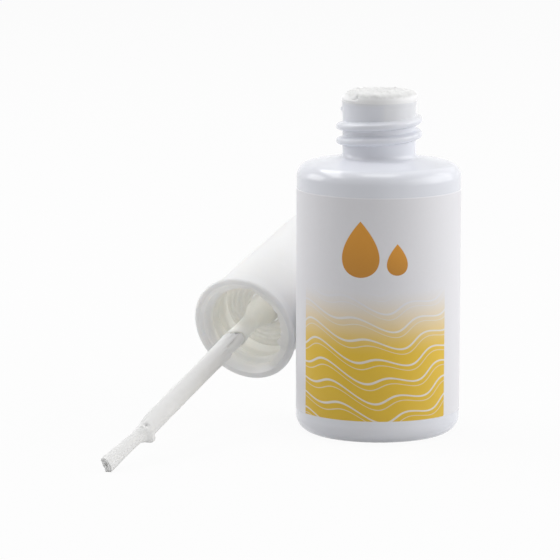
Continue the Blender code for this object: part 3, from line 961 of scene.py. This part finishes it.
def stem_section(sizes, socket_floor):
    """The rod's section: from its end in the socket down to the hole that holds the tuft."""
    radius = sizes.stem / 2
    core = radius - sizes.coat
    top = socket_floor - 0.15 * MM
    end = -sizes.stem_end
    bore, bore_end = sizes.tuft_bore / 2, end + sizes.tuft_bore_depth
    points = [(0.0, top), (radius - sizes.stem_chamfer, top), (radius, top - sizes.stem_chamfer)]
    points += [(radius, top - 11.0 * MM), (core, top - 12.5 * MM)]
    points += line((core, top - 12.7 * MM), (core, end + sizes.stem_point), 24)
    points += [(core, end + sizes.stem_point), (bore + 0.1 * MM, end), (bore, end)]
    return points + [(bore, bore_end), (0.0, bore_end)]


def along_tuft(sizes, height):
    """0 at the stem's end and above it, 1 at the tuft's tip."""
    return max(0.0, (-sizes.stem_end - height) / (sizes.tip - sizes.stem_end))


def tuft_radius(sizes, height):
    """Radius of the tuft at a height: slim at the stem, flaring towards the tip."""
    return sizes.tuft / 2 + (sizes.tuft_tip - sizes.tuft) / 2 * min(1.0, along_tuft(sizes, height)) ** 2.2


def lay_down(sizes, mesh, clear):
    """Slants the tuft's end, bends it up a little and presses it flat where it would sink into the table."""
    up = WAND_TURN.col[1].z
    far = Vector(circle(sizes.slant_turn, 1.0))
    # Pointed clumps at the tip: direction in degrees, extra reach in mm
    clumps = ((276.0, 0.55), (48.0, 0.45))
    for vert in mesh.vertices:
        out = along_tuft(sizes, vert.co.z)
        clump = 0.0
        for degrees, reach in clumps:
            point = Vector(circle(math.radians(degrees), 0.42 * sizes.tuft_tip))
            clump += reach * MM * bump((vert.co.xy - point).length, 0.3 * MM)
        slant = sizes.slant * vert.co.xy.dot(far) + clump * smooth(out, 0.85, 1.0)
        vert.co.z -= smooth(out, 0.5, 1.0) * slant
        # The bend is shared between the wand's two sideways axes
        vert.co.x += 0.7 * sizes.tuft_bend * out
        vert.co.y += 0.7 * sizes.tuft_bend * out
        short = clear - (WAND @ vert.co).z
        if short > 0.0:
            vert.co.y += short / up


class BOTTLE_OT_stem(Operator):
    """Makes the stem and the fluid dried on it and on the tuft"""

    bl_idname = "bottle.stem"
    bl_label = "Stem and dried coat"

    # The torn edge of the coat: direction round the stem in degrees, distance past its highest point in mm
    torn_edge = (
        (0, 1.4), (45, 1.0), (60, 0.95), (98, 0.8), (133, 0.05),
        (137, 4.8), (180, 4.1), (225, 4.4), (300, 2.4), (360, 1.4),
    )
    # The edge of the fluid above it, which lies close to that one along the crack and ends early elsewhere
    collar_edge = (
        (0, 1.0), (45, 0.62), (60, 0.55), (98, 0.38), (130, -0.38),
        (140, -0.8), (180, -1.0), (230, -0.5), (300, 1.5), (360, 1.0),
    )
    # A sharp-edged lump at the stem's end: place along the stem and rise, in mm
    ear = ((-40.2, 0.0), (-39.1, 0.35), (-38.0, 0.72), (-37.6, 0.74), (-37.3, 0.70), (-36.95, 0.0))
    ear_turn = math.radians(229.0)
    # Dents and lumps on the coat, with places along the stem
    marks = (
        (46.0, -37.6, 1.15, 1.35, -0.40),
        (122.0, -37.95, 0.36, 0.26, -0.50),
        (106.0, -38.65, 0.50, 0.22, 0.14),
        (128.0, -39.5, 0.30, 0.50, 0.12),
        (152.0, -38.7, 0.35, 0.50, 0.12),
        (120.0, -10.6, 0.60, 0.60, 0.06),
        (185.0, -14.0, 0.40, 1.60, 0.06),
        (140.0, -22.0, 0.35, 2.20, 0.05),
        (170.0, -29.5, 0.40, 2.40, 0.06),
    )

    def execute(self, context):
        sizes = context.scene.brush_sizes
        cap = context.scene.cap_sizes
        rod = turned_skin("stem_rod", stem_section(sizes, cap.socket_floor), steps=64)
        add_piece(rod, self.rod_finish(sizes), "cap", ["brush_stem"], WAND)
        fluid = dried_finish("dried_fluid", sizes.fluid)
        add_piece(self.coat(sizes), fluid, "cap", place=WAND)
        # The fluid above the crack takes the cap's cream, painted paler than the rest of the fluid to stand
        # in for light that glows through the cap
        run = dried_finish("collar_fluid_and_glow", cap.stain_and_glow)
        run.glow_through(2.4)
        add_piece(self.collar(sizes, cap), run, "cap", place=WAND)
        return {"FINISHED"}

    def rod_finish(self, sizes):
        """Moulded plastic with painted shade in the crack of the coat and here and there along its torn edge.
        """
        finish, plain = moulded_finish("stem_plastic", sizes.plastic, 0.45)
        place = finish.parts()
        turn = finish.maths("ARCTAN2", place["Y"], place["X"])
        past = finish.maths("SUBTRACT", -sizes.coat_start / MM, place["Z"])
        # Limits are turns round the stem in radians and distances past the coat's start in mm
        # Painted shade: the plastic darkens in the crack between the coat and the fluid above it
        crack = finish.product(
            finish.spread(turn, 2.38, 2.28),
            finish.spread(turn, 0.2, 0.3),
            finish.spread(past, -1.2, -1.1),
            finish.spread(past, 1.8, 1.7),
        )
        # Painted shade along the coat's torn edge, in soft patches
        torn_edge_shade = finish.product(
            finish.spread(turn, 2.38, 2.72, 0.55, 0.0),
            finish.spread(past, 0.3, 1.4),
            finish.spread(finish.noise(0.6, 1.0), 0.35, 0.6, 0.25, 1.0),
            finish.spread(turn, 1.0, 1.2),
        )
        painted_shade = finish.maths("MAXIMUM", crack, torn_edge_shade)
        # The painted shade is a much darker tint of the plastic
        finish.colour(finish.blend(painted_shade, plain, tint(sizes.plastic, 0.45)))
        return finish

    def coat(self, sizes):
        """The coat from its torn edge near the cap, over the stem's end and along the tuft to its tip."""
        radius = sizes.stem / 2
        end = -sizes.stem_end
        tip = 0.12 * MM - sizes.tip
        feathered = (math.radians(70.0), math.radians(25.0))

        def dried(turn, radius_here, height):
            x, y, z = in_mm(turn, radius_here, height)
            # The torn edge, with deeper tatters on the side that faces the camera
            feather = smooth(turn_between(turn, math.radians(165.0)), *feathered)
            jag = 0.10 * round_lumps(turn, 9, 3.0, 1.0) + 1.1 * feather * round_lumps(turn, 9, 0.0, 0.8)
            past = -sizes.coat_start - (by_step(self.torn_edge, math.degrees(turn)) + jag) * MM - height
            # Runs along the stem, frayed near the tear and thin on the tuft
            on_tuft = smooth(-height, 0.2 * MM - end, 2.8 * MM - end)
            runs = 0.98 + 0.22 * lumps(x, y, 0.16 * z, 0.9) + 0.12 * lumps(x, y, z, 1.3)
            near_tear = 1.0 - smooth(past, 1.5 * MM, 6.0 * MM)
            frayed = abs(round_lumps(turn, 6, 0.22 * z, 0.8)) - 0.25
            rise = (sizes.coat * runs - 0.03 * MM) * (1.0 - 0.9 * on_tuft)
            rise += near_tear * (0.26 * frayed + 0.05 * bump(past - 0.3 * MM, 0.35 * MM)) * MM
            rise *= smooth(past, 0.0, 0.12 * MM)
            # Grooves between the tuft's strands, and its ragged tip
            groove = 0.05 * round_lumps(turn, 3.1, 0.07 * z, 0.55)
            groove += 0.03 * round_lumps(turn, 4.5, 0.06 * z, 0.5)
            ragged = 0.12 * smooth(-height, -tip - 0.4 * MM, -tip) * lumps(2.5 * x, 2.5 * y, 1.0, 0.9)
            rise += on_tuft * (groove + ragged) * MM
            rise += by_step(self.ear, z) * bump(turn_between(turn, self.ear_turn) * radius, 0.5 * MM) * MM
            rise += marks_rise(self.marks, turn, radius, height)
            return rise + sizes.sunk * smooth(past, -0.05 * MM, 0.0)

        low = radius - sizes.coat - sizes.sunk
        root = end - 3.0 * MM
        neck = sizes.tuft / 2 + 0.18 * MM
        # Where the coat's rows change their spacing: radius and height, then rows up to the next
        stations = (
            (low, -2.6 * MM, 110),
            (low, -11.5 * MM, 78),
            (low, end + 3.5 * MM, 26),
            (low, end + 0.9 * MM, 17),
            (low, end - 0.4 * MM, 14),
            (neck, end - 1.5 * MM, 16),
            (tuft_radius(sizes, root) + 0.03 * MM, root, 0),
        )
        outer = []
        for (*first, rows), (*last, _) in zip(stations, stations[1:]):
            outer += line(first, last, rows)
        steps = 76
        for step in range(steps + 1):
            height = root + (tip - root) * step / steps
            spare = 0.03 - 0.06 * smooth(-height, -tip - 1.4 * MM, -tip)
            outer.append((tuft_radius(sizes, height) + spare * MM, height))
        rim = outer[-1][0]
        hollow = sizes.tip_hollow
        outer += arc(rim - 0.16 * MM, tip, 0.16 * MM, -20, -80, 4)
        outer += line((rim - 0.25 * MM, tip - 0.16 * MM), (hollow + 0.1 * MM, tip - 0.12 * MM), 5)
        outer += [(hollow, tip - 0.04 * MM), (0.75 * hollow, tip + 0.21 * MM)]
        outer += [(0.4 * hollow, tip + 0.43 * MM), (0.1 * hollow, tip + 0.52 * MM)]
        inner = [(0.1 * hollow, tip + 1.01 * MM), (0.3 * hollow, end - 0.507 * MM)]
        inner += [(low - sizes.sunk, end + 3.507 * MM), (low - sizes.sunk, -2.507 * MM)]
        face = range(1, len(outer) - 1)
        mesh = turned_skin("stem_coat", outer + inner, steps=160, closed=True, swell=dried, swollen=face)
        lay_down(sizes, mesh, 0.02 * MM)
        return mesh

    def collar(self, sizes, cap):
        """Smooth fluid that has run from the stem onto its socket, ending along the crack."""
        top = cap.socket_end
        low = sizes.stem / 2 - sizes.coat - sizes.sunk
        wide = cap.socket_bore / 2 + 0.62 * MM

        def run(turn, radius, height):
            x, y, z = in_mm(turn, radius, height)
            jag = 0.10 * round_lumps(turn, 9, 5.0, 1.0)
            before = height + sizes.coat_start + (by_step(self.collar_edge, math.degrees(turn)) + jag) * MM
            # Full thickness along the crack, thinner towards the socket
            thick = 0.15 + 0.85 * (1.0 - smooth(before, 0.3 * MM, 3.2 * MM))
            rise = sizes.collar * thick * (1.0 + 0.2 * lumps(x, y, 0.4 * z, 0.9)) + sizes.sunk
            return rise * smooth(before, 0.0, 0.1 * MM)

        points = [(0.0, top + 1.3 * MM), (wide - 0.3 * MM, top + 1.25 * MM), (wide, top + 1.05 * MM)]
        for step in range(1, 25):
            part = step / 25
            points.append((wide + (low - wide) * smooth(part, 0.0, 1.0), top + (1.05 - 4.6 * part) * MM))
        points += line((low, top - 3.55 * MM), (low, -6.0 * MM), 130)
        points.append((0.0, -6.0 * MM))
        return turned_skin("stem_collar", points, steps=140, swell=run)


class BOTTLE_OT_tuft(Operator):
    """Makes the brush's strands"""

    bl_idname = "bottle.tuft"
    bl_label = "Brush tuft"

    def execute(self, context):
        sizes = context.scene.brush_sizes
        nylon = Finish("bristle_nylon", 0.45)
        streak = nylon.noise(1.0, stretch=(8.0, 8.0, 0.7))
        nylon.colour(nylon.mottle(streak, sizes.nylon, 0.94, 1.04))
        nylon.uneven_gloss(streak, 0.36, 0.58)
        nylon.relief(streak, 0.2, 0.01)
        add_piece(self.strands(sizes), nylon, "cap", ["bristle_tuft"], WAND)
        return {"FINISHED"}

    def strands(self, sizes):
        """Strands set in a sunflower pattern, flaring from the root and hollow at the tip."""
        draw = random.Random(7)
        root_z = sizes.tuft_root - sizes.stem_end
        golden = math.pi * (3.0 - math.sqrt(5.0))
        sides, stations = 5, 10
        verts = []
        faces = []
        for index in range(sizes.strands):
            wide = math.sqrt((index + 0.5) / sizes.strands)
            turn = index * golden
            across = Vector((*circle(turn, 1.0), 0.0))
            aside = Vector((-across.y, across.x, 0.0))
            clump = 0.05 * MM * math.sin(7 * turn + 2.0)
            hollow = sizes.tip_hollow * bump(wide, 0.3)
            tip_z = hollow - sizes.tip + (0.1 + 0.2 * draw.random()) * MM
            sway = Vector((draw.uniform(-1, 1), draw.uniform(-1, 1), 0.0)) * 0.03 * MM
            sections = []
            for station in range(stations):
                part = station / (stations - 1)
                height = root_z + (tip_z - root_z) * part
                out = along_tuft(sizes, height)
                reach = wide * (tuft_radius(sizes, height) - sizes.strand - 0.06 * MM)
                middle = across * reach + aside * clump * out + sway * out * out
                middle.z = height
                thick = sizes.strand / 2 * (1.0 - 0.3 * part)
                corners = [circle(-math.tau * side / sides, thick) for side in range(sides)]
                sections.append([middle + Vector((*corner, 0.0)) for corner in corners])
            add_tube(verts, faces, sections)
        mesh = new_mesh("tuft_strands", verts, faces)
        lay_down(sizes, mesh, 0.03 * MM)
        return mesh


class BOTTLE_OT_steel(Operator):
    """Gives the mixing ball and the tuft's staple their bright steel"""

    bl_idname = "bottle.steel"
    bl_label = "Steel"

    def execute(self, context):
        finish = Finish("steel", 0.25, metallic=1.0)
        # A CAD node has no own places in mm, so its object's places in metres stand in
        finish.own = finish.node("ShaderNodeTexCoord")["Object"]
        scratch = finish.noise(1.0, 4.0, 0.65, stretch=(900.0, 900.0, 9000.0))
        finish.colour(finish.blend(scratch, (0.55, 0.55, 0.56), (0.68, 0.68, 0.69)))
        finish.uneven_gloss(scratch, 0.18, 0.34)
        finish.relief(scratch, 0.2, 0.01)
        for name in ("mixing_ball", "tuft_staple"):
            mesh = frame["nodes"][name].data
            mesh.materials.clear()
            mesh.materials.append(finish.material)
        return {"FINISHED"}


class BOTTLE_OT_stage(Operator):
    """Makes the pale floor, the soft light and the camera"""

    bl_idname = "bottle.stage"
    bl_label = "Stage"

    def execute(self, context):
        scene = context.scene
        sizes = scene.stage_sizes
        self.add_floor(sizes)
        self.add_world(scene, sizes)
        self.add_lamps(sizes)
        self.add_camera(scene, sizes)
        scene.view_settings.view_transform = "Standard"
        return {"FINISHED"}

    def add_floor(self, sizes):
        """A floor that looks almost white and still takes a faint shadow."""
        steps = 96
        corners = [(*circle(math.tau * step / steps, sizes.floor), 0.0) for step in range(steps)]
        mesh = new_mesh("floor", corners, [range(steps)])
        finish = Finish("pale_floor", 0.9)
        finish.colour(sizes.floor_colour)
        finish.set("Specular IOR Level", 0.0)
        white = finish.node("ShaderNodeEmission", {"Color": WHITE})["Emission"]
        finish.surface(finish.show(white, finish.shader.outputs["BSDF"], 0.94))
        mesh.materials.append(finish.material)
        floor = new_object("floor", mesh)

    def add_world(self, scene, sizes):
        """Faint even light from all round, in front of a white background."""
        scene.world = bpy.data.worlds.new("studio")
        nodes = Nodes(scene.world)
        light = nodes.tree.nodes["Background"]
        nodes.feed(light.inputs["Color"], WHITE)
        nodes.feed(light.inputs["Strength"], sizes.fill)
        white = nodes.node("ShaderNodeBackground", {"Color": WHITE})["Background"]
        shown = nodes.show(white, light.outputs["Background"])
        nodes.feed(nodes.tree.nodes["World Output"].inputs["Surface"], shown)

    def add_lamps(self, sizes):
        """Soft boxes on both sides, above and behind; the camera's own side stays dim."""
        aim = Vector((-0.005, 0.0, 0.035))
        # Turn from the camera to its right and height, in degrees, then distance, width, height and power
        boxes = {
            "key_box": (-116.0, 53.5, 0.7, 0.85, 0.20, sizes.key),
            "top_box": (0.0, 88.0, 1.0, 0.50, 0.50, sizes.top),
            "right_box": (70.0, 21.0, 1.0, 1.00, 0.78, sizes.right),
            "side_box": (98.0, 21.0, 1.0, 1.00, 0.78, sizes.right),
            "left_box": (-106.0, 20.0, 1.0, 0.60, 0.50, sizes.left),
            "back_box": (130.0, 42.0, 1.0, 1.20, 0.90, sizes.back),
        }
        for name, (turn, height, distance, wide, tall, power) in boxes.items():
            lamp = bpy.data.lights.new(name, "AREA")
            lamp.shape = "RECTANGLE"
            lamp.size = wide
            lamp.size_y = tall
            lamp.energy = power
            box = new_object(name, lamp)
            raised = Matrix.Rotation(math.radians(-height), 3, "X") @ Vector((0.0, -1.0, 0.0))
            towards = Matrix.Rotation(math.radians(turn), 3, "Z") @ raised
            box.location = aim + distance * towards
            box.rotation_mode = "QUATERNION"
            box.rotation_quaternion = (-towards).to_track_quat("-Z", "Y")

    def add_camera(self, scene, sizes):
        data = bpy.data.cameras.new("camera")
        data.lens = sizes.focal
        data.sensor_width = 36.0
        data.clip_start = 0.01
        camera = new_object("camera", data)
        look = Matrix.Rotation(-sizes.yaw, 4, "Z") @ Matrix.Rotation(math.pi / 2 - sizes.pitch, 4, "X")
        camera.matrix_world = Matrix.Translation(sizes.camera) @ look @ Matrix.Rotation(sizes.roll, 4, "Z")
        scene.camera = camera


SETTINGS = {
    "bottle_sizes": BottleSizes,
    "thread_sizes": ThreadSizes,
    "label_print": LabelPrint,
    "wiper_sizes": WiperSizes,
    "cap_sizes": CapSizes,
    "brush_sizes": BrushSizes,
    "stage_sizes": StageSizes,
}
OPERATORS = (
    BOTTLE_OT_stage,
    BOTTLE_OT_body,
    BOTTLE_OT_label,
    BOTTLE_OT_wiper,
    BOTTLE_OT_cap,
    BOTTLE_OT_liner,
    BOTTLE_OT_stem,
    BOTTLE_OT_tuft,
    BOTTLE_OT_steel,
)


class BOTTLE_PT_pieces(Panel):
    """Lists the bottle's pieces and their sizes"""

    bl_label = "Correction Fluid Bottle"
    bl_idname = "BOTTLE_PT_pieces"
    bl_space_type = "VIEW_3D"
    bl_region_type = "UI"
    bl_category = "Bottle"

    def draw(self, context):
        for operator in OPERATORS:
            self.layout.operator(operator.bl_idname)
        for name, group in SETTINGS.items():
            box = self.layout.box()
            box.label(text=group.__doc__)
            for key in group.__annotations__:
                box.prop(getattr(context.scene, name), key)


CLASSES = (*SETTINGS.values(), *OPERATORS, BOTTLE_PT_pieces)


def register():
    for kind in CLASSES:
        bpy.utils.register_class(kind)
    for name, group in SETTINGS.items():
        setattr(bpy.types.Scene, name, PointerProperty(type=group))


def unregister():
    for name in SETTINGS:
        delattr(bpy.types.Scene, name)
    for kind in reversed(CLASSES):
        bpy.utils.unregister_class(kind)


def main():
    register()
    bpy.ops.bottle.stage()
    bpy.ops.bottle.body()
    bpy.ops.bottle.label()
    bpy.ops.bottle.wiper()
    bpy.ops.bottle.cap()
    bpy.ops.bottle.liner()
    bpy.ops.bottle.stem()
    bpy.ops.bottle.tuft()
    bpy.ops.bottle.steel()


if __name__ == "__main__":
    main()
